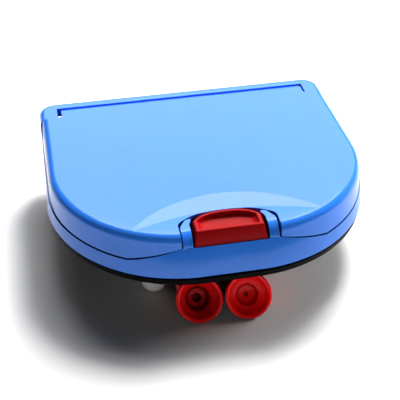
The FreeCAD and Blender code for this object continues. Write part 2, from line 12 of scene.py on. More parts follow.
import bpy
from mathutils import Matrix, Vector

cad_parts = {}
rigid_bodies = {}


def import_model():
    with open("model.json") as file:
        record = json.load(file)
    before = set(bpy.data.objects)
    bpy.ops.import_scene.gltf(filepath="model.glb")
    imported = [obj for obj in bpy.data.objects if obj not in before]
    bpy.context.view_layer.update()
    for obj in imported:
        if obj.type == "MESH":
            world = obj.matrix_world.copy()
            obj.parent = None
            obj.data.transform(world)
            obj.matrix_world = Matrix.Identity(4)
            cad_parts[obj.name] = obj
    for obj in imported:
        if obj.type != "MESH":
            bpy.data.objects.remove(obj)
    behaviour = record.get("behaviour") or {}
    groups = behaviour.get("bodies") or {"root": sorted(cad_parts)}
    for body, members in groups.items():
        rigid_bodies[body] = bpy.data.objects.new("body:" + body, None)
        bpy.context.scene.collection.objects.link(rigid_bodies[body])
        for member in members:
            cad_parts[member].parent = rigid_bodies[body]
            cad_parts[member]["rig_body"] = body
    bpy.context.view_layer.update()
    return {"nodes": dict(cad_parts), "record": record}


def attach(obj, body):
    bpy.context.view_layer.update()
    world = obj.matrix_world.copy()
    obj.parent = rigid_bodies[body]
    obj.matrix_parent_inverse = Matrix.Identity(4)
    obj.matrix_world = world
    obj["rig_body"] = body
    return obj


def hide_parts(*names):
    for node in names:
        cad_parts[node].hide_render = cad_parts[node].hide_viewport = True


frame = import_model()

# %% [markdown]
# ## Working in the drawing's millimetres
# The case was drawn in millimetres, with the middle of its own width at zero. The frame is in
# metres and sits a little further back, so that the whole object is centred. One helper turns a
# drawing place into a frame place, and everything below is given in drawing millimetres.

# %% Places and selection
MM = 0.001
SET_BACK = 4.71


def at(x, y, z):
    """A place of the drawing, in millimetres, as a point of the frame."""
    return Vector((x, y + SET_BACK, z)) * MM


def begin():
    """Leave edit mode and let go of everything, so that the next operator acts on new work only."""
    if bpy.context.object and bpy.context.object.mode != "OBJECT":
        bpy.ops.object.mode_set(mode="OBJECT")
    bpy.context.tool_settings.mesh_select_mode = (True, False, False)
    bpy.ops.object.select_all(action="DESELECT")


def take(obj):
    """Select one object alone and make it the one that operators act on."""
    begin()
    obj.select_set(True)
    bpy.context.view_layer.objects.active = obj


def pick(kind, test):
    """Select points, edges or faces by their place in the drawing, and stay in edit mode."""
    mesh = bpy.context.object.data
    bpy.ops.object.mode_set(mode="EDIT")
    bpy.context.tool_settings.mesh_select_mode = [kind == k for k in ("VERT", "EDGE", "FACE")]
    bpy.ops.mesh.select_all(action="DESELECT")
    bpy.ops.object.mode_set(mode="OBJECT")
    spots = [v.co / MM - Vector((0, SET_BACK, 0)) for v in mesh.vertices]
    if kind == "VERT":
        for v in mesh.vertices:
            v.select = test(spots[v.index])
    elif kind == "EDGE":
        for e in mesh.edges:
            e.select = all(test(spots[i]) for i in e.vertices)
    else:
        for f in mesh.polygons:
            f.select = test(f.center / MM - Vector((0, SET_BACK, 0)), f.normal)
    bpy.ops.object.mode_set(mode="EDIT")


# %% [markdown]
# ## Outlines
# A moulded case is mostly outlines with rounded corners, raised into walls. An outline is drawn as
# by hand: a tiny plane is merged to one point, the point is extruded from corner to corner, and the
# corners are rounded with a vertex bevel. The length that a bevel takes off each side follows from
# the corner's turn, so a corner can be asked for by its radius.

# %% Draw an outline
def corner_cut(before, here, after, radius):
    turn = (here - before).angle(after - here)
    return radius * math.tan(turn / 2)


def outline(name, corners, radii=(), fine=10, closed=True):
    """Draw a line through corners, round those with a radius, and fill it if it is closed."""
    begin()
    points = [at(*c) for c in corners]
    bpy.ops.mesh.primitive_plane_add(size=MM, location=points[0])
    obj = bpy.context.object
    obj.name = name
    bpy.ops.object.transform_apply(location=True, rotation=True, scale=True)
    bpy.ops.object.mode_set(mode="EDIT")
    bpy.ops.mesh.select_all(action="SELECT")
    bpy.ops.mesh.merge(type="CENTER")
    for a, b in zip(points, points[1:]):
        bpy.ops.mesh.extrude_region_move(TRANSFORM_OT_translate={"value": b - a})
    if closed:
        bpy.ops.mesh.select_all(action="SELECT")
        bpy.ops.mesh.edge_face_add()
    for i, radius in enumerate(radii):
        if radius:
            here = Vector(corners[i])
            before, after = Vector(corners[i - 1]), Vector(corners[(i + 1) % len(corners)])
            pick("VERT", lambda p: (p - here).length < 0.01)
            cut = corner_cut(before, here, after, radius) * MM
            segments = fine if radius < 20 else 6 * fine
            bpy.ops.mesh.bevel(affect="VERTICES", offset=cut * 0.9999, segments=segments)
    bpy.ops.mesh.select_all(action="SELECT")
    bpy.ops.mesh.remove_doubles(threshold=0.02 * MM)
    bpy.ops.object.mode_set(mode="OBJECT")
    looks_down = closed and obj.data.polygons[0].normal.z < 0
    bpy.ops.object.mode_set(mode="EDIT")
    if looks_down:
        bpy.ops.mesh.flip_normals()
    return obj


def prism(name, corners, along, radii=(), fine=10):
    """A filled outline pulled out along a vector in millimetres, as a closed block."""
    obj = outline(name, corners, radii, fine)
    bpy.ops.mesh.extrude_region_move(TRANSFORM_OT_translate={"value": Vector(along) * MM})
    bpy.ops.mesh.select_all(action="SELECT")
    bpy.ops.mesh.normals_make_consistent(inside=False)
    begin()
    return obj


def carve(obj, tool, how="DIFFERENCE"):
    """Cut a tool from a piece, or join it, with a boolean modifier that is applied at once."""
    take(obj)
    change = obj.modifiers.new("carve", "BOOLEAN")
    change.operation = how
    change.solver = "EXACT"
    change.object = tool
    bpy.ops.object.modifier_apply(modifier=change.name)
    bpy.data.objects.remove(tool)


# %% [markdown]
# The shell's outline is a D: a straight rear edge, sides that open out slightly towards the front,
# and a wide round nose. Seen as a polygon it has six corners, and the two front ones are rounded by
# the whole depth of the nose.

# %% The D outline
WIDEST_Y = -5.0
HALF = 57.69
REAR_Y, REAR_HALF = 45.8, 55.8
NARROWING = (HALF - REAR_HALF) / (REAR_Y - WIDEST_Y)
SHELL_FOOT, LID_TOP = 18.6, 34.0
NOSE_LOW, NOSE_HIGH = 48.0, 43.0


def dee_corners(level, half, nose, rear_y):
    rear_half = half - NARROWING * (rear_y - WIDEST_Y)
    front = WIDEST_Y - nose
    right = [(rear_half, rear_y, level), (half, WIDEST_Y, level), (half, front, level)]
    left = [(-x, y, z) for x, y, z in reversed(right)]
    return right + left


def dee(name, level, half, nose, rear_y, corner=0.0):
    radii = (corner, 0, nose, nose, 0, corner)
    return outline(name, dee_corners(level, half, nose, rear_y), radii, fine=8)


def nose_at(level):
    """How far the nose reaches out at a level: it draws back as the shell rises."""
    share = (level - SHELL_FOOT) / (LID_TOP - SHELL_FOOT)
    return NOSE_LOW + (NOSE_HIGH - NOSE_LOW) * share


def grow(steps):
    """Raise the selected face through (inset, rise) steps in millimetres."""
    for inset, rise in steps:
        bpy.ops.mesh.inset(thickness=max(inset, 1e-6) * MM, depth=rise * MM, use_even_offset=True)


def lean_front(foot_nose, nose_by_level):
    """Draw each level's front half back, or swell it, to the nose depth wanted there."""
    bpy.ops.object.mode_set(mode="OBJECT")
    levels = sorted({round(v.co.z / MM, 3) for v in bpy.context.object.data.vertices})
    for level in levels:
        pick("VERT", lambda p: abs(p.z - level) < 0.002 and p.y < WIDEST_Y - 0.01)
        ratio = nose_by_level(level) / foot_nose
        bpy.ops.transform.resize(value=(1, ratio, 1), center_override=at(0, WIDEST_Y, level))
    print("leaned", len(levels), "levels of", bpy.context.object.name)


def slim(half_by_level):
    """Draw each level's sides in to the half width wanted there; the rear corners stay."""
    bpy.ops.object.mode_set(mode="OBJECT")
    levels = sorted({round(v.co.z / MM, 3) for v in bpy.context.object.data.vertices})
    for level in levels:
        pick("VERT", lambda p: abs(p.z - level) < 0.002 and p.y < 10.0)
        ratio = half_by_level(level) / HALF
        bpy.ops.transform.resize(value=(ratio, 1, 1), center_override=at(0, 0, level))


def close_up():
    """Turn a raised shape's faces outwards before it is carved."""
    bpy.ops.object.mode_set(mode="EDIT")
    bpy.ops.mesh.select_all(action="SELECT")
    bpy.ops.mesh.remove_doubles(threshold=0.002 * MM)
    bpy.ops.mesh.select_all(action="SELECT")
    bpy.ops.mesh.normals_make_consistent(inside=False)
    begin()


# %% [markdown]
# ## Finishes
# The real case is injection moulded. Gloss mouldings are never quite flat: they carry a very fine
# ripple, a little dust and hairline rubbing that only shows in reflections. One node group makes
# that unevenness from noise in object space, and each plastic takes it with its own strength.

# %% Group for moulded surfaces
def new_group(name, inputs, outputs):
    tree = bpy.data.node_groups.new(name, "ShaderNodeTree")
    for label, value in inputs:
        socket = tree.interface.new_socket(label, in_out="INPUT", socket_type="NodeSocketFloat")
        socket.default_value = value
    for label, kind in outputs:
        tree.interface.new_socket(label, in_out="OUTPUT", socket_type=kind)
    return tree, tree.nodes.new("NodeGroupInput"), tree.nodes.new("NodeGroupOutput")


def node(tree, kind, **settings):
    made = tree.nodes.new(kind)
    for key, value in settings.items():
        setattr(made, key, value)
    return made


def spread(tree, source, low, high):
    """Map a 0 to 1 value onto low to high."""
    made = node(tree, "ShaderNodeMapRange")
    tree.links.new(source, made.inputs["Value"])
    made.inputs["To Min"].default_value = low
    made.inputs["To Max"].default_value = high
    return made


skin, skin_in, skin_out = new_group(
    "moulded_skin",
    [("Ripple Scale", 90.0), ("Grain Scale", 900.0), ("Rub", 0.5)],
    [("Ripple", "NodeSocketFloat"), ("Grain", "NodeSocketFloat"), ("Wear", "NodeSocketFloat")],
)
place = node(skin, "ShaderNodeTexCoord")
ripple = node(skin, "ShaderNodeTexNoise")
ripple.inputs["Detail"].default_value = 2.0
grain = node(skin, "ShaderNodeTexNoise")
grain.inputs["Detail"].default_value = 4.0
stretch = node(skin, "ShaderNodeMapping")
stretch.inputs["Scale"].default_value = (60.0, 700.0, 60.0)
stretch.inputs["Rotation"].default_value = (0.0, 0.0, 0.6)
rub = node(skin, "ShaderNodeTexNoise")
rub.inputs["Scale"].default_value = 3.0
rub.inputs["Detail"].default_value = 6.0
rub_curve = node(skin, "ShaderNodeMapRange")
rub_curve.inputs["From Min"].default_value = 0.55
rub_curve.inputs["From Max"].default_value = 0.8
rub_share = node(skin, "ShaderNodeMath", operation="MULTIPLY")
links = skin.links
links.new(place.outputs["Object"], ripple.inputs["Vector"])
links.new(place.outputs["Object"], grain.inputs["Vector"])
links.new(place.outputs["Object"], stretch.inputs["Vector"])
links.new(stretch.outputs["Vector"], rub.inputs["Vector"])
links.new(skin_in.outputs["Ripple Scale"], ripple.inputs["Scale"])
links.new(skin_in.outputs["Grain Scale"], grain.inputs["Scale"])
links.new(rub.outputs["Fac"], rub_curve.inputs["Value"])
links.new(rub_curve.outputs["Result"], rub_share.inputs[0])
links.new(skin_in.outputs["Rub"], rub_share.inputs[1])
links.new(ripple.outputs["Fac"], skin_out.inputs["Ripple"])
links.new(grain.outputs["Fac"], skin_out.inputs["Grain"])
links.new(rub_share.outputs["Value"], skin_out.inputs["Wear"])
print("group", skin.name, "with", len(skin.nodes), "nodes")


# %% [markdown]
# A plastic is then a Principled shader fed by the group: the ripple moves the colour a little
# lighter and darker, the rubbing dulls the gloss, and ripple and grain together make a very shallow
# bump. What is the same all over, such as the coat, is set on the shader itself.

# %% Plastics
def plastic(
    name, colour, rough, ripple_height=0.02, grain_height=0.01, rub=0.25, tint=0.06, **shader
):
    """A moulded finish; further words are sockets of the shader, with _ for a space."""
    made = bpy.data.materials.new(name)
    made.use_nodes = True
    tree = made.node_tree
    surface = tree.nodes["Principled BSDF"]
    group = node(tree, "ShaderNodeGroup")
    group.node_tree = skin
    group.inputs["Rub"].default_value = rub
    shade = node(tree, "ShaderNodeMix", data_type="RGBA")
    dark = [c * (1 - tint) for c in colour]
    light = [min(1.0, c * (1 + tint)) for c in colour]
    shade.inputs["A"].default_value = (*dark, 1)
    shade.inputs["B"].default_value = (*light, 1)
    gloss = spread(tree, group.outputs["Wear"], rough, rough + 0.22)
    height = node(tree, "ShaderNodeMath", operation="MULTIPLY_ADD")
    height.inputs[1].default_value = grain_height / max(ripple_height, 1e-4)
    bump = node(tree, "ShaderNodeBump")
    bump.inputs["Distance"].default_value = 0.001
    bump.inputs["Strength"].default_value = ripple_height
    links = tree.links
    links.new(group.outputs["Ripple"], shade.inputs["Factor"])
    links.new(shade.outputs["Result"], surface.inputs["Base Color"])
    links.new(gloss.outputs["Result"], surface.inputs["Roughness"])
    links.new(group.outputs["Grain"], height.inputs[0])
    links.new(group.outputs["Ripple"], height.inputs[2])
    links.new(height.outputs["Value"], bump.inputs["Height"])
    links.new(bump.outputs["Normal"], surface.inputs["Normal"])
    for label, value in shader.items():
        surface.inputs[label.replace("_", " ")].default_value = value
    return made


finishes = {
    "blue_gloss": plastic("blue_gloss", (0.03, 0.205, 0.84), 0.17, Specular_IOR_Level=0.38),
    "blue_satin": plastic("blue_satin", (0.12, 0.38, 0.80), 0.42, grain_height=0.03),
    "black_plastic": plastic(
        "black_plastic", (0.003, 0.003, 0.0035), 0.5, grain_height=0.05, Specular_IOR_Level=0.05
    ),
    "black_rubber": plastic("black_rubber", (0.012, 0.012, 0.012), 0.72, grain_height=0.10),
    "red_gloss": plastic(
        "red_gloss", (0.34, 0.002, 0.004), 0.42, grain_height=0.03, Specular_IOR_Level=0.11
    ),
    "white_plastic": plastic("white_plastic", (0.78, 0.77, 0.73), 0.24, Coat_Weight=0.3),
    "white_rubber": plastic("white_rubber", (0.70, 0.70, 0.67), 0.60, grain_height=0.06),
}
print("plastics:", ", ".join(finishes))

# %% [markdown]
# The suction cups are soft silicone. Light enters the wall and comes out again a few millimetres
# further on. That is subsurface scattering, with a red that travels further than green or blue. An
# ambient occlusion node paints shade into the colour: a darker red inside the dish, and painted light
# that lifts the red on the open lip. The same node, set to a much shorter reach, paints shade into
# the seams of the blue shell. Metal and mirror need only a clean metallic surface with a fine grain.

# %% Silicone, steel and mirror
finishes["red_silicone"] = plastic(
    "red_silicone", (0.62, 0.003, 0.004), 0.38, grain_height=0.02,
    Subsurface_Weight=0.45, Subsurface_Radius=(1.0, 0.06, 0.04), Subsurface_Scale=0.003,
)


def paint_occlusion_shade(made, reach, share, open_share):
    """Paint shade into a colour where walls stand close around it, and painted light where it is
    open, scaling it from share to open_share.
    """
    tree = made.node_tree
    paint = tree.nodes["Principled BSDF"].inputs["Base Color"]
    source = paint.links[0].from_socket
    # Ambient occlusion drives painted shade in hollows and painted light on open surfaces.
    hollow = node(tree, "ShaderNodeAmbientOcclusion", samples=12)
    hollow.inputs["Distance"].default_value = reach
    depth = spread(tree, hollow.outputs["AO"], share, open_share)
    depth.inputs["From Min"].default_value = 0.35
    depth.inputs["From Max"].default_value = 0.8
    painted_shade_mix = node(tree, "ShaderNodeMix", data_type="RGBA", blend_type="MULTIPLY")
    painted_shade_mix.inputs["Factor"].default_value = 1.0
    tree.links.new(source, painted_shade_mix.inputs["A"])
    tree.links.new(depth.outputs["Result"], painted_shade_mix.inputs["B"])
    tree.links.new(painted_shade_mix.outputs["Result"], paint)


# Painted shade: a darker red inside the dish. Painted light: a lighter red on the open lip.
paint_occlusion_shade(finishes["red_silicone"], 0.011, 0.08, 2.3)
# Painted shade in the seams and narrow gaps of the blue shell.
paint_occlusion_shade(finishes["blue_gloss"], 0.0015, 0.04, 1.0)
finishes["steel"] = plastic("steel", (0.56, 0.56, 0.57), 0.22, grain_height=0.02, Metallic=1.0)
finishes["mirror"] = plastic(
    "mirror", (0.93, 0.94, 0.95), 0.015, ripple_height=0.001, grain_height=0.0, rub=0.05, tint=0.01,
    Metallic=1.0,
)


def dress(obj, slot):
    obj.data.materials.clear()
    obj.data.materials.append(finishes[slot])


slots = {part["node"]: part["material_slot"] for part in frame["record"]["subparts"]}
for name, obj in frame["nodes"].items():
    dress(obj, slots[name])
print("dressed", len(frame["nodes"]), "parts of the frame")


# %% [markdown]
# ## Finishing a piece
# Every modelled piece ends the same way. Doubles are merged and normals turned outwards, a narrow
# bevel takes the sharpness off its edges so that they catch the light as moulded edges do, and
# smooth shading is kept to curves, so that flat faces stay flat.

# %% Finish helper
def soften(obj, edge, edge_angle=30.0, segments=3):
    """Round the edges of a piece that are sharper than an angle, with a bevel modifier."""
    take(obj)
    rounding = obj.modifiers.new("rounding", "BEVEL")
    rounding.width, rounding.segments = edge * MM, segments
    rounding.limit_method, rounding.angle_limit = "ANGLE", math.radians(edge_angle)
    bpy.ops.object.modifier_apply(modifier=rounding.name)


def finish(obj, nodes, edge=0.0, angle=6.0, edge_angle=30.0):
    take(obj)
    bpy.ops.object.mode_set(mode="EDIT")
    bpy.ops.mesh.select_all(action="SELECT")
    bpy.ops.mesh.remove_doubles(threshold=0.003 * MM)
    bpy.ops.mesh.dissolve_degenerate(threshold=0.001 * MM)
    bpy.ops.mesh.select_all(action="SELECT")
    bpy.ops.mesh.normals_make_consistent(inside=False)
    bpy.ops.object.mode_set(mode="OBJECT")
    if edge:
        soften(obj, edge, edge_angle)
    bpy.ops.object.shade_smooth_by_angle(angle=math.radians(angle))
    body = frame["nodes"][nodes[0]]["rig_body"]
    dress(obj, slots[nodes[0]])
    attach(obj, body)
    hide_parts(*nodes)
    print(obj.name, "stands for", nodes, "with", len(obj.data.polygons), "faces")
    return obj


# %% [markdown]
# ## Lid
# The lid is a shallow D-shaped dome: an upright skirt that draws in a little, then a soft quarter
# roll into a flat top. Insetting the top face while it rises makes both, because an inset keeps the
# outline parallel however it curves. The front is then leaned back level by level.

# %% Lid dome
LID_FOOT, LID_HALF = 24.8, 56.5
SKIRT_FOOT = 0.3
ROLL, ROLL_STEPS = 2.9, 20

lid = dee("lid_shell", LID_FOOT, HALF, nose_at(LID_FOOT), 45.0)
bpy.ops.mesh.extrude_region_move(TRANSFORM_OT_translate={"value": (0, 0, SKIRT_FOOT * MM)})
rise = LID_TOP - ROLL - LID_FOOT - SKIRT_FOOT
turns = [math.radians(90.0 * i / ROLL_STEPS) for i in range(ROLL_STEPS + 1)]
roll = [
    (ROLL * (math.cos(a) - math.cos(b)), ROLL * (math.sin(b) - math.sin(a)))
    for a, b in zip(turns, turns[1:])
]
grow([(0.5, rise)] + roll)
lean_front(nose_at(LID_FOOT), lambda z: max(nose_at(z), 45.2))
slim(lambda z: LID_HALF)
close_up()
print("lid dome has", len(lid.data.vertices), "points")

# %% [markdown]
# Inside, the lid is hollow: a skirt wall and a roof about two millimetres thick. Two D-shaped
# blocks are carved out from below, and a third clears the hinge bay at the back.

# %% Lid hollow and back edge
def dee_block(name, low, high, inset, rear_y, corner):
    nose = nose_at(high) - inset
    obj = dee(name, low, HALF - inset, nose, rear_y, corner)
    bpy.ops.mesh.extrude_region_move(TRANSFORM_OT_translate={"value": (0, 0, (high - low) * MM)})
    bpy.ops.mesh.select_all(action="SELECT")
    bpy.ops.mesh.normals_make_consistent(inside=False)
    begin()
    return obj


def box_block(name, x_low, x_high, y_low, y_high, low, high, radii=()):
    across = [(x_low, y_low), (x_high, y_low), (x_high, y_high), (x_low, y_high)]
    return prism(name, [(x, y, low) for x, y in across], (0, 0, high - low), radii)


HINGE_Y, HINGE_Z = 36.4, 30.9
KNUCKLE_HALF, KNUCKLE_R = 47.7, 3.1
EAR_Y = 32.4
BAY_HALF = 49.2
carve(lid, dee_block("skirt_room", 20.0, 28.0, 2.65, 29.8, 1.5))
carve(lid, dee_block("roof_room", 27.0, 32.0, 3.8, 30.0, 1.5))
carve(lid, box_block("hinge_room", -46.0, 46.0, 20.0, 33.3, 20.0, 32.0))
ears = [(-70, EAR_Y), (-KNUCKLE_HALF, EAR_Y), (-KNUCKLE_HALF, HINGE_Y)]
ears += [(-x, y) for x, y in reversed(ears)]
ears += [(70, 70), (-70, 70)]
carve(lid, prism("ears", [(x, y, 20) for x, y in ears], (0, 0, 20)))
carve(lid, box_block("heel", -BAY_HALF, BAY_HALF, EAR_Y + 0.5, 60.0, 20.0, HINGE_Z))

# %% [markdown]
# The roll at the back is the hinge knuckle, a long cylinder that is flush with the lid's top. It is
# a spun half-round drawn at the hinge line.

# %% Hinge knuckle
def bar(name, x_low, x_high, y, z, radius, sides=64):
    """A round bar along X, made by spinning a straight line, with its ends filled."""
    line = [(x_low, y, z), (x_low, y, z + radius), (x_high, y, z + radius), (x_high, y, z)]
    obj = outline(name, line, closed=False)
    bpy.ops.mesh.select_all(action="SELECT")
    bpy.ops.mesh.spin(steps=sides, angle=math.tau, center=at(0, y, z), axis=(1, 0, 0))
    bpy.ops.mesh.select_all(action="SELECT")
    bpy.ops.mesh.remove_doubles(threshold=0.005 * MM)
    bpy.ops.mesh.select_all(action="SELECT")
    bpy.ops.mesh.normals_make_consistent(inside=False)
    begin()
    return obj


knuckle = bar("knuckle", -KNUCKLE_HALF, KNUCKLE_HALF, HINGE_Y, HINGE_Z, KNUCKLE_R)
carve(lid, knuckle, "UNION")

# %% [markdown]
# At the front the lower edge of the skirt rises in a shallow V to either side of the latch, and a
# notch leaves room for the button and its two posts. The notch narrows behind the button in one
# round sweep, so its corners are given generous radii.

# %% Lid front edge and notch
VEE_HALF, NOTCH_HALF = 34.2, 16.8
BROW = 29.8
vee = [(-VEE_HALF, LID_FOOT), (-VEE_HALF, 10), (VEE_HALF, 10), (VEE_HALF, LID_FOOT)]
vee += [(NOTCH_HALF, BROW), (-NOTCH_HALF, BROW)]
carve(lid, prism("vee", [(x, -30, z) for x, z in vee], (0, -40, 0)))
mouth = [(NOTCH_HALF, -70, 20), (NOTCH_HALF, -41.2, 20), (10.5, -36.5, 20), (0, -35.3, 20)]
mouth += [(-x, y, z) for x, y, z in mouth[2::-1]]
carve(lid, prism("mouth", mouth, (0, 0, 20), (0, 3.4, 12, 30, 12, 3.4, 0), fine=8))

# %% [markdown]
# Behind the button the top is scooped very slightly, so that a thumb finds the latch. The scoop is
# the overlap of a shallow cone, whose rim is the outer arc, and a plane that tips gently backwards.
# Where cone and plane meet is the inner arc, and between the two arcs lies the bright crescent.

# %% Thumb scoop
ARC_Y, ARC_R = -70.1, 42.7
ARC_SLOPE, PLANE_SLOPE = 0.115, 0.124

begin()
bpy.ops.mesh.primitive_cone_add(
    vertices=360, radius1=(ARC_R - 3 / ARC_SLOPE) * MM, radius2=(ARC_R + 2 / ARC_SLOPE) * MM,
    depth=5 * MM, location=at(0, ARC_Y, LID_TOP - 0.5),
)
scoop = bpy.context.object
bpy.ops.object.transform_apply(location=True, rotation=True, scale=True)
bpy.ops.object.mode_set(mode="EDIT")
bpy.ops.mesh.select_all(action="SELECT")
bpy.ops.mesh.bisect(
    plane_co=at(0, -43, LID_TOP), plane_no=(0, PLANE_SLOPE, 1), use_fill=True, clear_inner=True
)
bpy.ops.mesh.select_all(action="SELECT")
bpy.ops.mesh.normals_make_consistent(inside=False)
carve(lid, scoop)
finish(lid, ["lid"], edge=0.3)

# %% [markdown]
# ## Base
# The base is the lower half of the shell. Its foot has a tiny round, the front swells outwards
# before it leans back, like the rim of a lens, and the upper edge has a roll like that of the lid.

# %% Base wall
BASE_FOOT, RAIL_TOP, FLOOR = 19.05, 32.8, 20.6
FOOT_ROUND, RAIL_ROLL = 0.5, 2.4
WALL_STEPS = 12
BASE_REAR, REAR_ROUND = 45.27, 6.0


def swell(level):
    share = min(max((level - BASE_FOOT) / 11.0, 0.0), 1.0)
    return nose_at(level) + 0.55 * math.sin(math.pi * share)


def side_at(level):
    """Half the width of the base, which draws in a little above its foot."""
    share = (level - BASE_FOOT - FOOT_ROUND) / 4.6
    return HALF - 0.7 * min(max(share, 0.0), 1.0)


base = dee(
    "base_tub", BASE_FOOT, HALF - FOOT_ROUND, NOSE_LOW - FOOT_ROUND, BASE_REAR, REAR_ROUND
)
quarter = [math.radians(90.0 * i / 5) for i in range(6)]
out = [
    (FOOT_ROUND * (math.sin(b) - math.sin(a)), FOOT_ROUND * (math.cos(a) - math.cos(b)))
    for a, b in zip(quarter, quarter[1:])
]
for step_out, step_up in out:
    bpy.ops.mesh.extrude_region_move(TRANSFORM_OT_translate={"value": (0, 0, step_up * MM)})
    wide = (1 + step_out / 57.0, 1 + step_out / 49.0, 1)
    bpy.ops.transform.resize(value=wide, center_override=at(0, WIDEST_Y, 0))
wall_step = (RAIL_TOP - RAIL_ROLL - BASE_FOOT - FOOT_ROUND) / WALL_STEPS
for _ in range(WALL_STEPS):
    bpy.ops.mesh.extrude_region_move(TRANSFORM_OT_translate={"value": (0, 0, wall_step * MM)})
grow([(inset * RAIL_ROLL / ROLL, rise * RAIL_ROLL / ROLL) for inset, rise in roll])
lean_front(NOSE_LOW, lambda z: swell(max(z, BASE_FOOT + FOOT_ROUND)))
slim(side_at)
close_up()
print("base wall has", len(base.data.vertices), "points")

# %% [markdown]
# The tub is then hollowed, the rear bay is opened for the hinge knuckle, and the wall's upper edge
# is cut to the seam: level along the sides, rising to the posts, low under the button.

# %% Base hollow and upper edge
SEAM, SEAM_FRONT = 24.2, 29.4
ROOM_HALF, ROOM_NOSE = 55.5, 42.4
BAY_REAR = 40.9
POST_IN, POST_OUT = 12.9, 16.2


def smooth_dee(level, half, nose, widest, rear_y, rear_half):
    """Corners of a smaller D, for what lies inside the shell."""
    right = [(rear_half, rear_y, level), (half, widest, level), (half, widest - nose, level)]
    return right + [(-x, y, z) for x, y, z in reversed(right)]


room = smooth_dee(FLOOR, ROOM_HALF, ROOM_NOSE, WIDEST_Y, 31.0, 53.0)
carve(base, prism("room", room, (0, 0, 30), (1.5, 0, ROOM_NOSE, ROOM_NOSE, 0, 1.5), fine=8))
carve(base, box_block("bay", -BAY_HALF, BAY_HALF, 20.0, BAY_REAR, FLOOR, 50.0))
take(base)
pick("EDGE", lambda p: abs(p.y - BAY_REAR) < 0.01 and abs(p.z - RAIL_TOP) < 0.01)
bpy.ops.mesh.bevel(offset=1.5 * MM, segments=6)
begin()
for side in (1, -1):
    flank = [(POST_OUT, 44.0), (POST_OUT, SEAM_FRONT), (VEE_HALF, SEAM), (90.0, SEAM), (90.0, 44.0)]
    flank = [(side * x, 33.2, z) for x, z in flank]
    carve(base, prism("flank", flank, (0, -110, 0)))
carve(base, box_block("sill", -POST_OUT, POST_OUT, -70.0, 20.0, SEAM_FRONT, 50.0))
carve(base, box_block("button_well", -12.85, 12.85, -49.5, 20.0, 25.4, 50.0, (0.6, 0.6, 0, 0)))

# %% [markdown]
# The two posts beside the button grow out of the front wall and roll back over its shoulders. Each
# is what a side view and a plan have in common, and the plan follows the notch in the lid.

# %% Posts
side_view = [(-46.0, 20.0), (-49.7, 27.5), (-48.4, 33.4), (-38.0, 33.4), (-38.0, 20.0)]
plan = [(POST_IN, -52.0), (POST_OUT, -52.0), (POST_OUT, -43.0)]
plan += [(13.8, -39.2), (11.6, -38.9), (POST_IN, -41.8)]
for side in (1, -1):
    corners = [(-20.0, y, z) for y, z in side_view]
    post = prism("post", corners, (40.0, 0, 0), (0, 3.0, 5.0, 1.2, 0), fine=8)
    footprint = [(side * x, y, 19.8) for x, y in plan]
    carve(post, prism("plan", footprint, (0, 0, 20.0), (0, 0, 3.0, 1.5, 0.4, 3.0)), "INTERSECT")
    soften(post, 0.55, 50, 4)
    carve(base, post, "UNION")
finish(base, ["base_shell"], edge=0.3)

# %% [markdown]
# ## Bottom plate
# Under the blue shell sits a black plate that shows as a dark band along the front. Its lower edge
# is turned in by a soft round, so the band fades into the shadow below it. Its screw holes come
# later, with the screws.

# %% Bottom plate
PLATE_TOP = 18.95
plate = dee("band_plate", PLATE_TOP, 57.2, 48.4, 44.4, 4.0)
bpy.ops.mesh.extrude_region_move(TRANSFORM_OT_translate={"value": (0, 0, -1.5 * MM)})
bpy.ops.mesh.flip_normals()
grow([(0.08, 0.35), (0.2, 0.3), (0.35, 0.2), (0.5, 0.1)])
close_up()
print("plate has", len(plate.data.polygons), "faces")

# %% [markdown]
# ## Push button
# The button is a red D: straight across the front, bowed at the back. It draws in towards the top,
# and the top carries a thumb dish with a rounded rim. The top face is pulled up and drawn in for
# the rim, then pushed down and drawn in again and again, so the dish keeps the button's outline.

# %% Push button
button_foot = [(-12.4, -49.2), (12.4, -49.2), (12.4, -41.6), (8.4, -37.6), (0, -36.3)]
button_foot += [(-x, y) for x, y in button_foot[3:1:-1]]
BUTTON_LOW = 27.5
TOP_HALF, TOP_REACH = 11.4, 5.4


def ring(up, across, along, middle_y):
    """Move the selected face by up and scale it about a point of the middle line."""
    bpy.ops.mesh.extrude_region_move(TRANSFORM_OT_translate={"value": (0, 0, up * MM)})
    bpy.ops.transform.resize(value=(across, along, 1), center_override=at(0, middle_y, 0))


foot_corners = [(x, y, BUTTON_LOW) for x, y in button_foot]
button = outline("push_button", foot_corners, (0.6, 0.6, 1.6, 9.0, 24.0, 9.0, 1.6), fine=8)
ring(1.9, 1, 1, 0)
ring(4.1, 0.93, 0.83, -36.6)
rim = [(0.08, 0.16), (0.12, 0.12), (0.2, 0.1), (0.3, 0.06), (0.35, 0.0), (0.35, -0.1)]
for inset, up in rim:
    ring(up, 1 - inset / TOP_HALF, 1 - inset / TOP_REACH, -41.6)
dish = [(0.975, 0.4), (0.96, 0.5), (0.93, 0.38), (0.88, 0.3), (0.8, 0.2), (0.6, 0.1), (0.2, 0.04)]
for share, drop in dish:
    ring(-drop, share, share, -41.4)
finish(button, ["latch_button"], angle=38)


# %% [markdown]
# ## Suction cups
# A suction cup is a turned shape. Its side view, from the centre of the dish over the lip and back
# along the outside, is drawn as a line and spun about its own axis. The bell of these cups is tipped
# up towards the front, while the bulb and the stem behind it lie level in the dock.

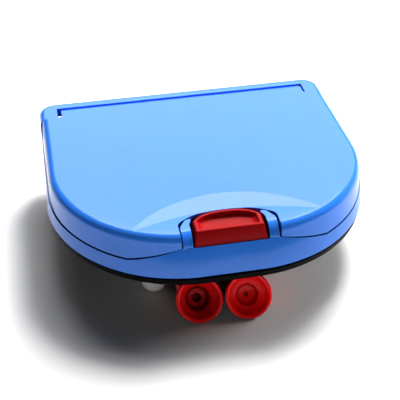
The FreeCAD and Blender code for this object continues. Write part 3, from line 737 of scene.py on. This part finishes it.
# %% Turned shapes
def turned(name, centre, axis, profile, radii=(), steps=72, fine=6):
    """Spin a line of (radius, along) points about an axis that starts at centre.

    Its first point lies on the axis and isn't rounded, so radii starts at the second.
    """
    axis = Vector(axis).normalized()
    across = axis.orthogonal().normalized()
    line = [Vector(centre) + across * r + axis * h for r, h in profile]
    obj = outline(name, line, (0, *radii), fine, closed=False)
    bpy.ops.mesh.select_all(action="SELECT")
    bpy.ops.mesh.spin(steps=steps, angle=math.tau, center=at(*centre), axis=axis)
    bpy.ops.mesh.select_all(action="SELECT")
    bpy.ops.mesh.remove_doubles(threshold=0.004 * MM)
    bpy.ops.mesh.select_all(action="SELECT")
    bpy.ops.mesh.normals_make_consistent(inside=False)
    begin()
    return obj


def join(first, *others):
    begin()
    for obj in (first, *others):
        obj.select_set(True)
    bpy.context.view_layer.objects.active = first
    bpy.ops.object.join()
    return first


PITCH = math.radians(36.0)
LOOK = (0, -math.cos(PITCH), math.sin(PITCH))
UP, BACK, RIGHT = (0, 0, 1), (0, 1, 0), (1, 0, 0)
VENTED_X, PLAIN_X = -10.9, 5.9
MOUTH_Z, STEM_Z = 7.1, 7.5


def suction_cup(name, across, front, dish, node_name):
    """A bell and a stem; dish runs from the middle of the mouth to the lip, as (radius, depth)."""
    lip = [(6.8, -0.45), (7.5, 0.0), (8.2, -0.3), (8.1, -0.9), (7.6, -1.4)]
    bell = [(r, -d) for r, d in dish] + lip
    bell_round = (0,) * (len(dish) - 1) + (0.5, 0.4, 0.4, 0.5)
    head = turned(name, (across, front, MOUTH_Z), LOOK, bell, bell_round)
    body = [(6.9, 0), (6.9, 16.0), (4.5, 17.6), (4.5, 47.6), (0, 48.0)]
    tail = turned(name + "_tail", (across, -43.1, STEM_Z), BACK, body, (2.0, 1.0, 0.8))
    cup = join(head, tail)
    bpy.ops.object.mode_set(mode="EDIT")
    bpy.ops.mesh.select_all(action="DESELECT")
    bpy.ops.mesh.select_non_manifold()
    bpy.ops.mesh.bridge_edge_loops(number_cuts=6, interpolation="SURFACE", smoothness=0.6)
    return finish(cup, [node_name], angle=40)


vented = [(0, 9.0), (1.4, 8.8), (1.6, 7.2), (3.2, 6.8), (3.9, 5.8), (4.2, 4.4)]
vented += [(5.0, 3.6), (6.4, 1.9)]
plain = [(0, 6.2), (0.6, 6.1), (0.8, 5.4), (2.8, 5.1), (3.6, 4.4), (3.9, 3.4)]
plain += [(5.0, 2.8), (6.4, 1.5)]
suction_cup("vented_cup", VENTED_X, -50.0, vented, "suction_inserter")
suction_cup("plain_cup", PLAIN_X, -51.3, plain, "suction_remover")

# %% [markdown]
# ## Drop bottle
# The pale rounded end beside the cups is the bottom of a small drop bottle that lies in the dock.

# %% Drop bottle
BOTTLE_X, BOTTLE_Z = -24.0, 5.3
bottle_side = [(0, 0), (2.8, 0.2), (4.6, 2.0), (4.6, 38.1), (3.0, 39.9), (3.0, 41.9), (0, 42.0)]
bottle_round = (2.0, 3.0, 1.2, 0.4, 0.3, 0)
bottle = turned("bottle_body", (BOTTLE_X, -37.9, BOTTLE_Z), BACK, bottle_side, bottle_round)
finish(bottle, ["drop_bottle"], angle=40)

# %% [markdown]
# ## Cap and nozzle of the bottle
# Inside the dock the bottle carries a ribbed cap over a small dropper. Ribs are made after the
# spin: of every four lines along the cap, two are drawn in a little.

# %% Bottle cap and nozzle
def rib(obj, centre, axis, reach, columns, share):
    """Draw in every other pair of lines on the outer wall of a turned piece, to leave ribs."""
    axis = Vector(axis)
    side = axis.orthogonal().normalized()
    other = axis.cross(side)

    def column(p):
        out = p - Vector(centre)
        out = out - axis * out.dot(axis)
        turn = math.atan2(out.dot(other), out.dot(side)) / math.tau * columns
        return out.length > reach - 0.05 and round(turn) % 4 < 2

    take(obj)
    pick("VERT", column)
    scale = [1 if abs(a) > 0.5 else share for a in axis]
    bpy.ops.transform.resize(value=scale, center_override=at(*centre))
    begin()


cap_side = [(0, 9.6), (3.3, 9.6), (3.3, 0), (4.4, 0), (4.4, 11.0), (0, 11.0)]
cap_at = (BOTTLE_X, 2.3, BOTTLE_Z)
bottle_cap = turned("bottle_cap_ribbed", cap_at, BACK, cap_side, (0.3, 0.1, 0.2, 0.9, 0), 96)
rib(bottle_cap, cap_at, BACK, 4.4, 96, 0.955)
finish(bottle_cap, ["bottle_cap"], angle=28)
spout_side = [(0, 0), (2.6, 0), (2.6, 1.7), (1.5, 2.2), (1.05, 6.0)]
spout_side += [(0.35, 6.2), (0.3, 5.0), (0, 4.9)]
spout_round = (0.2, 0.4, 0.6, 0.3, 0.1, 0, 0)
nozzle = turned("dropper", (BOTTLE_X, 4.15, BOTTLE_Z), BACK, spout_side, spout_round, 48)
finish(nozzle, ["bottle_nozzle"], angle=28)

# %% [markdown]
# ## Lens wells and their caps
# Each lens lies in solution in a round well with a threaded neck. The well is one turned wall, with
# a hollow floor so that a lens can be slid out, and two thread rings. The caps are ribbed for wet
# fingers, with a raised rim. One well and one cap are made, and the other side gets its own copy.

# %% Lens wells
WELL_X, WELL_Y, WELL_Z = 30.0, -9.0, 20.9
LEFT_WELL = (-WELL_X, WELL_Y, WELL_Z)
ACROSS = (2 * WELL_X, 0, 0)


def copied(obj, name, move):
    """A copy with a mesh of its own, moved inside that mesh by millimetres."""
    take(obj)
    bpy.ops.object.duplicate(linked=False)
    twin = bpy.context.object
    twin.name = name
    bpy.ops.object.mode_set(mode="EDIT")
    bpy.ops.mesh.select_all(action="SELECT")
    bpy.ops.transform.translate(value=Vector(move) * MM)
    begin()
    return twin


outside = [(0, 0), (11.2, 0), (11.2, 4.7), (12.2, 4.7), (12.2, 5.4), (10.2, 5.4)]
thread = [(10.2, 5.8), (10.42, 6.0), (10.42, 6.2), (10.2, 6.4), (10.2, 7.3)]
inside = [(8.8, 7.3), (8.8, 2.2), (7.2, 1.1), (0, 1.0)]
soft = (0.6, 0.2, 0.25, 0.25, 0.2) + (0.1, 0.08, 0.08, 0.1, 0.35) + (0.35, 1.4, 1.6, 0)
well = turned("well_left", LEFT_WELL, UP, outside + thread + inside, soft, 96)
well_right = copied(well, "well_right", ACROSS)
finish(well, ["lens_well_left"], angle=32)
finish(well_right, ["lens_well_right"], angle=32)

COVER_R = 12.6
cover_side = [(0, 8.0), (10.5, 8.0), (10.5, 5.7), (COVER_R, 5.7), (COVER_R, 8.7)]
cover_side += [(11.5, 8.7), (11.0, 8.4), (0, 8.4)]
cover = turned("cap_left", LEFT_WELL, UP, cover_side, (0.4, 0.15, 0.2, 0.7, 0.3, 0.4, 0), 144)
rib(cover, LEFT_WELL, UP, COVER_R, 144, 0.972)
cover_right = copied(cover, "cap_right", ACROSS)
finish(cover, ["well_cap_left"], angle=28)
finish(cover_right, ["well_cap_right"], angle=28)

seal_side = [(0, 0), (10.2, 0), (10.2, 0.4), (0, 0.4)]
seal = turned("seal_left", (-WELL_X, WELL_Y, 28.35), UP, seal_side, (0.12, 0.12, 0), 72)
seal_right = copied(seal, "seal_right", ACROSS)
finish(seal, ["cap_seal_left"], angle=28)
finish(seal_right, ["cap_seal_right"], angle=28)

# %% [markdown]
# ## Tray
# The wells stand in a satin tray that drops into the tub. Its outline is a smaller D, cut away at
# the front for the latch. Long pockets with rounded ends hold the tweezers and the applicator, and
# a finger hollow crosses the first pocket so that the tweezers can be lifted out.

# %% Inner tray
TRAY_LOW, TRAY_TOP, POCKET_FLOOR = 20.9, 25.4, 21.9
TRAY_NOSE = 41.6
tray_corners = smooth_dee(TRAY_LOW, 54.2, TRAY_NOSE, WIDEST_Y, 29.3, 51.4)
tray_round = (1.5, 0, TRAY_NOSE, TRAY_NOSE, 0, 1.5)
tray = prism("tray", tray_corners, (0, 0, TRAY_TOP - TRAY_LOW), tray_round, fine=8)
carve(tray, box_block("latch_room", -17.0, 17.0, -60.0, -22.2, 20.0, 27.0, (0, 0, 2.0, 2.0)))
for x in (-WELL_X, WELL_X):
    hole_side = [(0, 0), (11.5, 0), (11.5, 10.0), (0, 10.0)]
    carve(tray, turned("well_hole", (x, WELL_Y, 18.0), UP, hole_side, (), 96))
pocket_round = (2.4,) * 4
for name, box in (
    ("tweezer_pocket", (-41.0, 42.0, 7.6, 18.4)), ("stick_pocket", (-32.0, 32.0, 20.8, 28.2))
):
    carve(tray, box_block(name, *box, POCKET_FLOOR, 27.0, pocket_round))
soften(tray, 0.3, 40)
carve(tray, box_block("finger_hollow", -9.0, 9.0, 4.6, 19.7, 23.2, 27.0, (3.0,) * 4))
finish(tray, ["inner_tray"], angle=32)

# %% [markdown]
# ## Tweezers and applicator
# The tweezers are one bent strip of white plastic with soft red tips, so that they can't scratch a
# lens. The applicator is a turned rod that swells at its ends, with a soft dome.

# %% Tweezers
TONGS_Y, TONGS_REAR, TONGS_LEAN = 13.0, -39.0, 0.022
GRIP_FIRST, GRIP_STEP, GRIP_COUNT = -26.0, 2.2, 6

arm = [(TONGS_REAR, -3.2), (34, -1.6), (34, -0.5), (-31, -1.6)]
arms = arm + [(x, -y) for x, y in reversed(arm)]
arm_round = (2.4, 0.3, 0.3, 1.5)
tongs = prism(
    "tongs", [(x, TONGS_Y + y, 22.2) for x, y in arms], (0, 0, 4.0), arm_round + arm_round[::-1], 6
)
soften(tongs, 0.2, 40)
for i in range(GRIP_COUNT):
    x = GRIP_FIRST + i * GRIP_STEP
    for side in (-1, 1):
        y = TONGS_Y + side * (2.1 - TONGS_LEAN * (x - TONGS_REAR))
        carve(tongs, box_block("grip", x, x + 1.0, y - 0.55, y + 0.55, 25.95, 27.0))
finish(tongs, ["tweezers"], angle=28)

tip_view = [(34.3, -2.0), (40.3, -1.6), (40.3, -0.3), (34.3, -0.3)]
near = [(x, TONGS_Y + y, 22.1) for x, y in tip_view]
far = [(x, TONGS_Y - y, 22.1) for x, y in reversed(tip_view)]
tip = prism("soft_tips", near, (0, 0, 4.2), (0.3, 0.8, 0.4, 0.3), fine=6)
far_tip = prism("far_tip", far, (0, 0, 4.2), (0.3, 0.4, 0.8, 0.3), fine=6)
finish(join(tip, far_tip), ["tweezer_tips"], edge=0.25, edge_angle=40)

# %% Applicator
STICK_Y, STICK_Z = 24.5, 24.9
rod_side = [(0, 0), (2.1, 0), (2.1, 6.0), (1.6, 9.0), (1.6, 42.0), (2.1, 45.0), (2.1, 51.0)]
rod_round = (0.6, 2.0, 2.0, 2.0, 2.0, 0.2, 0)
stick = turned("stick", (-29.0, STICK_Y, STICK_Z), RIGHT, rod_side + [(0, 51.0)], rod_round, 48)
finish(stick, ["applicator_stick"], angle=28)
dome_side = [(0, 0), (2.5, 0), (2.7, 0.6), (2.7, 7.3), (0, 7.3)]
dome = turned("soft_dome", (22.3, STICK_Y, STICK_Z), RIGHT, dome_side, (0.2, 0.3, 2.6, 0), 48, 10)
finish(dome, ["applicator_tip"], angle=28)

# %% [markdown]
# ## Mirror
# A mirror lies in a satin frame inside the lid. The frame is a D-shaped block with a seat and a
# window carved out of it, and the glass gets a fine ground edge.

# %% Mirror and frame
def mirror_block(name, half, rear, low, high):
    nose = half - 16.5
    corners = smooth_dee(low, half, nose, 2.0, rear, half - 1.0)
    return prism(name, corners, (0, 0, high - low), (5, 0, nose, nose, 0, 5), 8)


surround_frame = mirror_block("mirror_surround", 48.0, 29.6, 30.0, 31.8)
carve(surround_frame, mirror_block("seat", 46.3, 28.3, 30.4, 33.0))
carve(surround_frame, mirror_block("window", 44.8, 27.0, 29.0, 33.0))
finish(surround_frame, ["mirror_frame"], edge=0.15, edge_angle=40)
glass = mirror_block("mirror_glass", 46.0, 28.0, 30.7, 31.7)
finish(glass, ["mirror"], edge=0.12, edge_angle=40)

# %% [markdown]
# ## Latch
# Pressing the button pushes a ramp on this bar, which slides back and lets go of the catch on the
# lid. Bar, guide and catch are small white and black mouldings: blocks joined with booleans and
# then softened all over.

# %% Latch parts
bar_view = [(-41.8, 23.4), (-28.2, 23.4), (-28.2, 25.2), (-40.0, 25.2)]
bar_piece = prism("latch_slider", [(-8.0, y, z) for y, z in bar_view], (16.0, 0, 0))
carve(bar_piece, box_block("window", -5.6, 5.6, -36.4, -32.3, 20.0, 30.0, (0.6,) * 4))
finish(bar_piece, ["latch_bar"], edge=0.2, edge_angle=30)

GUIDE_SCREW_X, GUIDE_SCREW_Y = 12.6, -24.5
guide = box_block("slider_guide", -14.8, 14.8, -26.4, -22.6, 20.9, 26.5, (1.5,) * 4)
for side in (1, -1):
    low, high = sorted((side * 8.3, side * 10.6))
    carve(guide, box_block("wall", low, high, -36.0, -23.0, 20.9, 26.5), "UNION")
    low, high = sorted((side * 6.4, side * 8.5))
    carve(guide, box_block("lip", low, high, -36.0, -29.0, 25.5, 26.5), "UNION")
    carve(guide, box_block("shelf", low, high, -36.0, -29.0, 20.9, 23.1), "UNION")
    hole_side = [(0, 0), (1.15, 0), (1.15, 10.0), (0, 10.0)]
    carve(guide, turned("hole", (side * GUIDE_SCREW_X, GUIDE_SCREW_Y, 18.0), UP, hole_side, (), 32))
finish(guide, ["latch_guide"], edge=0.2, edge_angle=40)

catch = box_block("catch_hook", -9.0, 9.0, -34.8, -30.2, 31.0, 31.8, (1.0,) * 4)
carve(catch, box_block("tongue", -4.8, 4.8, -34.0, -32.6, 21.6, 31.2), "UNION")
carve(catch, box_block("hook", -4.8, 4.8, -32.7, -31.2, 21.6, 23.1), "UNION")
finish(catch, ["lid_catch"], edge=0.2, edge_angle=40)

# %% [markdown]
# ## Dock, feet and screws
# The dock is the black block under the case that holds bottle and cups. Its lower edge is rounded,
# and bores are carved from the front. Screws are turned once, get a cross recess, and are copied to
# every hole. Rubber feet keep it from sliding.

# %% Dock
DOCK_LOW, DOCK_TOP, DOCK_FRONT = 1.5, 16.2, -18.0
dock = box_block("dock_body", -31.0, 31.0, DOCK_FRONT, 30.0, DOCK_LOW, DOCK_TOP, (4.0,) * 4)
take(dock)
pick("EDGE", lambda p: p.z < DOCK_LOW + 0.01)
bpy.ops.mesh.bevel(offset=0.9 * MM, segments=5)
cup_bores = [(x, STEM_Z, 4.8, 24.0) for x in (VENTED_X, PLAIN_X)]
for x, z, radius, length in (*cup_bores, (BOTTLE_X, BOTTLE_Z, 4.9, 33.0)):
    bore_side = [(0, -1.0), (radius, -1.0), (radius, length), (0, length)]
    carve(dock, turned("bore", (x, DOCK_FRONT, z), BACK, bore_side, (), 72))
DOCK_SPOTS = [(-24.0, 23.0), (24.0, 23.0), (24.0, -10.0), (-2.5, -10.0)]
for x, y in DOCK_SPOTS:
    well_side = [(0, -1.0), (2.7, -1.0), (2.7, 11.8), (1.6, 11.8), (1.6, 16.0), (0, 16.0)]
    carve(dock, turned("screw_hole", (x, y, DOCK_LOW), UP, well_side, (), 32))
finish(dock, ["accessory_dock"], edge=0.3, edge_angle=50)

# %% Feet
foot_side = [(0, 0.15), (2.6, 0.15), (2.9, 0), (3.9, 0), (4.2, 0.3), (4.2, 1.2), (0, 1.2)]
foot_round = (0.1, 0.1, 0.1, 0.1, 0.1, 0)
first_foot = turned("pad_rear_left", (-24.5, 23.0, 0), UP, foot_side, foot_round, 48)
feet = {"foot_rear_left": first_foot}
moves = {"rear_right": (49.0, 0), "front_left": (13.6, -35.0), "front_right": (49.0, -35.0)}
for name, (x, y) in moves.items():
    feet["foot_" + name] = copied(first_foot, "pad_" + name, (x, y, 0))
for name, obj in feet.items():
    finish(obj, [name], angle=28)


# %% Screws
def screws(name, spots, low, head_r, head, shank_r, length, axis, node_name):
    """Turn one screw, cut a cross in its head, copy it to every spot and join them."""
    x, y = spots[0]
    view = [(0, 0), (head_r * 0.85, 0), (head_r, head * 0.4), (head_r, head), (shank_r, head)]
    view += [(shank_r, length - shank_r), (0, length)]
    one = turned(name, (x, y, low), axis, view, (0.2, 0.15, 0.1, 0, 0.2, 0), 32)
    slot, reach, depth = head_r * 0.13, head_r * 0.6, 0.45
    for wide, deep in ((slot, reach), (reach, slot)):
        box = (x - wide, x + wide, y - deep, y + deep)
        carve(one, box_block("cross", *box, low - depth, low + depth))
    rest = [copied(one, name, (a - x, b - y, 0)) for a, b in spots[1:]]
    return finish(join(one, *rest), [node_name], angle=28)


BASE_SPOTS = [(-42.0, 28.0), (42.0, 28.0), (-38.0, -26.0), (38.0, -26.0)]
sunk = [(0, 0), (2.7, 0), (2.7, 1.6), (1.5, 1.6), (1.5, 4.0), (0, 4.0)]
for x, y in BASE_SPOTS:
    carve(plate, turned("sunk_hole", (x, y, 16.0), UP, sunk, (), 48))
through = [(0, 0), (1.4, 0), (1.4, 4.0), (0, 4.0)]
for x, y in DOCK_SPOTS:
    carve(plate, turned("through_hole", (x, y, 16.0), UP, through, (), 32))
finish(plate, ["bottom_plate"], angle=30)
screws("plate_screw", BASE_SPOTS, 16.7, 2.4, 0.8, 1.2, 3.4, UP, "base_screws")
screws("dock_screw", DOCK_SPOTS, 11.9, 2.4, 1.2, 1.2, 8.2, UP, "dock_screws")
GUIDE_SPOTS = [(side * GUIDE_SCREW_X, GUIDE_SCREW_Y) for side in (-1, 1)]
screws("guide_screw", GUIDE_SPOTS, 27.1, 1.7, 0.6, 0.9, 7.5, (0, 0, -1), "guide_screws")

# %% [markdown]
# ## Table, light and camera
# The case stands on a plain pale table. A soft square light behind it and to the right does most
# of the work and throws the shadow forwards and a little to the left. Two wide panels behind the
# case are what the flat lid mirrors. Two fill lights, low from the right and low in front, keep
# the shadow and the cups from going black. The surround is dim, except where the camera looks
# straight at it.

# %% Table and light
begin()
bpy.ops.mesh.primitive_plane_add(size=6.0, location=(0, 0, 0))
table = bpy.context.object
table.name = "table"
bpy.ops.object.mode_set(mode="EDIT")
bpy.ops.mesh.subdivide(number_cuts=4)
begin()
paper = bpy.data.materials.new("paper")
paper.use_nodes = True
paper.node_tree.nodes["Principled BSDF"].inputs["Base Color"].default_value = (0.85, 0.85, 0.85, 1)
paper.node_tree.nodes["Principled BSDF"].inputs["Roughness"].default_value = 0.9
table.data.materials.append(paper)

scene = bpy.context.scene
scene.view_settings.view_transform = "Standard"
world = bpy.data.worlds.new("surround")
world.use_nodes = True
dim = world.node_tree.nodes["Background"]
dim.inputs["Color"].default_value = (0.95, 0.97, 1.0, 1)
dim.inputs["Strength"].default_value = 0.02
backdrop = node(world.node_tree, "ShaderNodeBackground")
backdrop.inputs["Color"].default_value = (0.92, 0.92, 0.92, 1)
seen = node(world.node_tree, "ShaderNodeLightPath")
choice = node(world.node_tree, "ShaderNodeMixShader")
links = world.node_tree.links
links.new(seen.outputs["Is Camera Ray"], choice.inputs["Fac"])
links.new(dim.outputs["Background"], choice.inputs[1])
links.new(backdrop.outputs["Background"], choice.inputs[2])
links.new(choice.outputs["Shader"], world.node_tree.nodes["World Output"].inputs["Surface"])
scene.world = world


def panel(name, place, aim, wide, high, power):
    data = bpy.data.lights.new(name, "AREA")
    data.shape = "RECTANGLE"
    data.size, data.size_y = wide, high
    data.energy = power
    lamp = bpy.data.objects.new(name, data)
    scene.collection.objects.link(lamp)
    lamp.location = place
    lamp.rotation_euler = (Vector(aim) - Vector(place)).to_track_quat("-Z", "Y").to_euler()
    print(name, "at", place, "power", power)
    return lamp


key = panel("key", (0.44, 0.78, 0.96), (0, 0, 0), 0.38, 0.38, 27)
key.visible_glossy = False
panel("low_panel", (0.4, 1.25, 0.9), (0, 0, 0), 1.8, 0.6, 10)
panel("high_panel", (0.35, 0.95, 1.35), (0, 0, 0), 1.2, 0.5, 15)
side_fill = panel("side_fill", (1.05, 0.34, 0.32), (0.03, -0.03, 0), 0.5, 0.3, 11)
side_fill.visible_glossy = False
low_fill = panel("low_fill", (0.3, -1.15, 0.15), (0, 0, 0.01), 0.7, 0.22, 2.3)
low_fill.visible_glossy = False

# %% Camera
camera = bpy.data.objects.new("camera", bpy.data.cameras.new("camera"))
scene.collection.objects.link(camera)
camera.data.lens = 90.0
camera.data.sensor_width = 36.0
camera.location = (-0.06124, -0.29223, 0.23550)
camera.rotation_euler = Vector((0.16069, 0.78763, -0.59482)).to_track_quat("-Z", "Y").to_euler()
scene.camera = camera
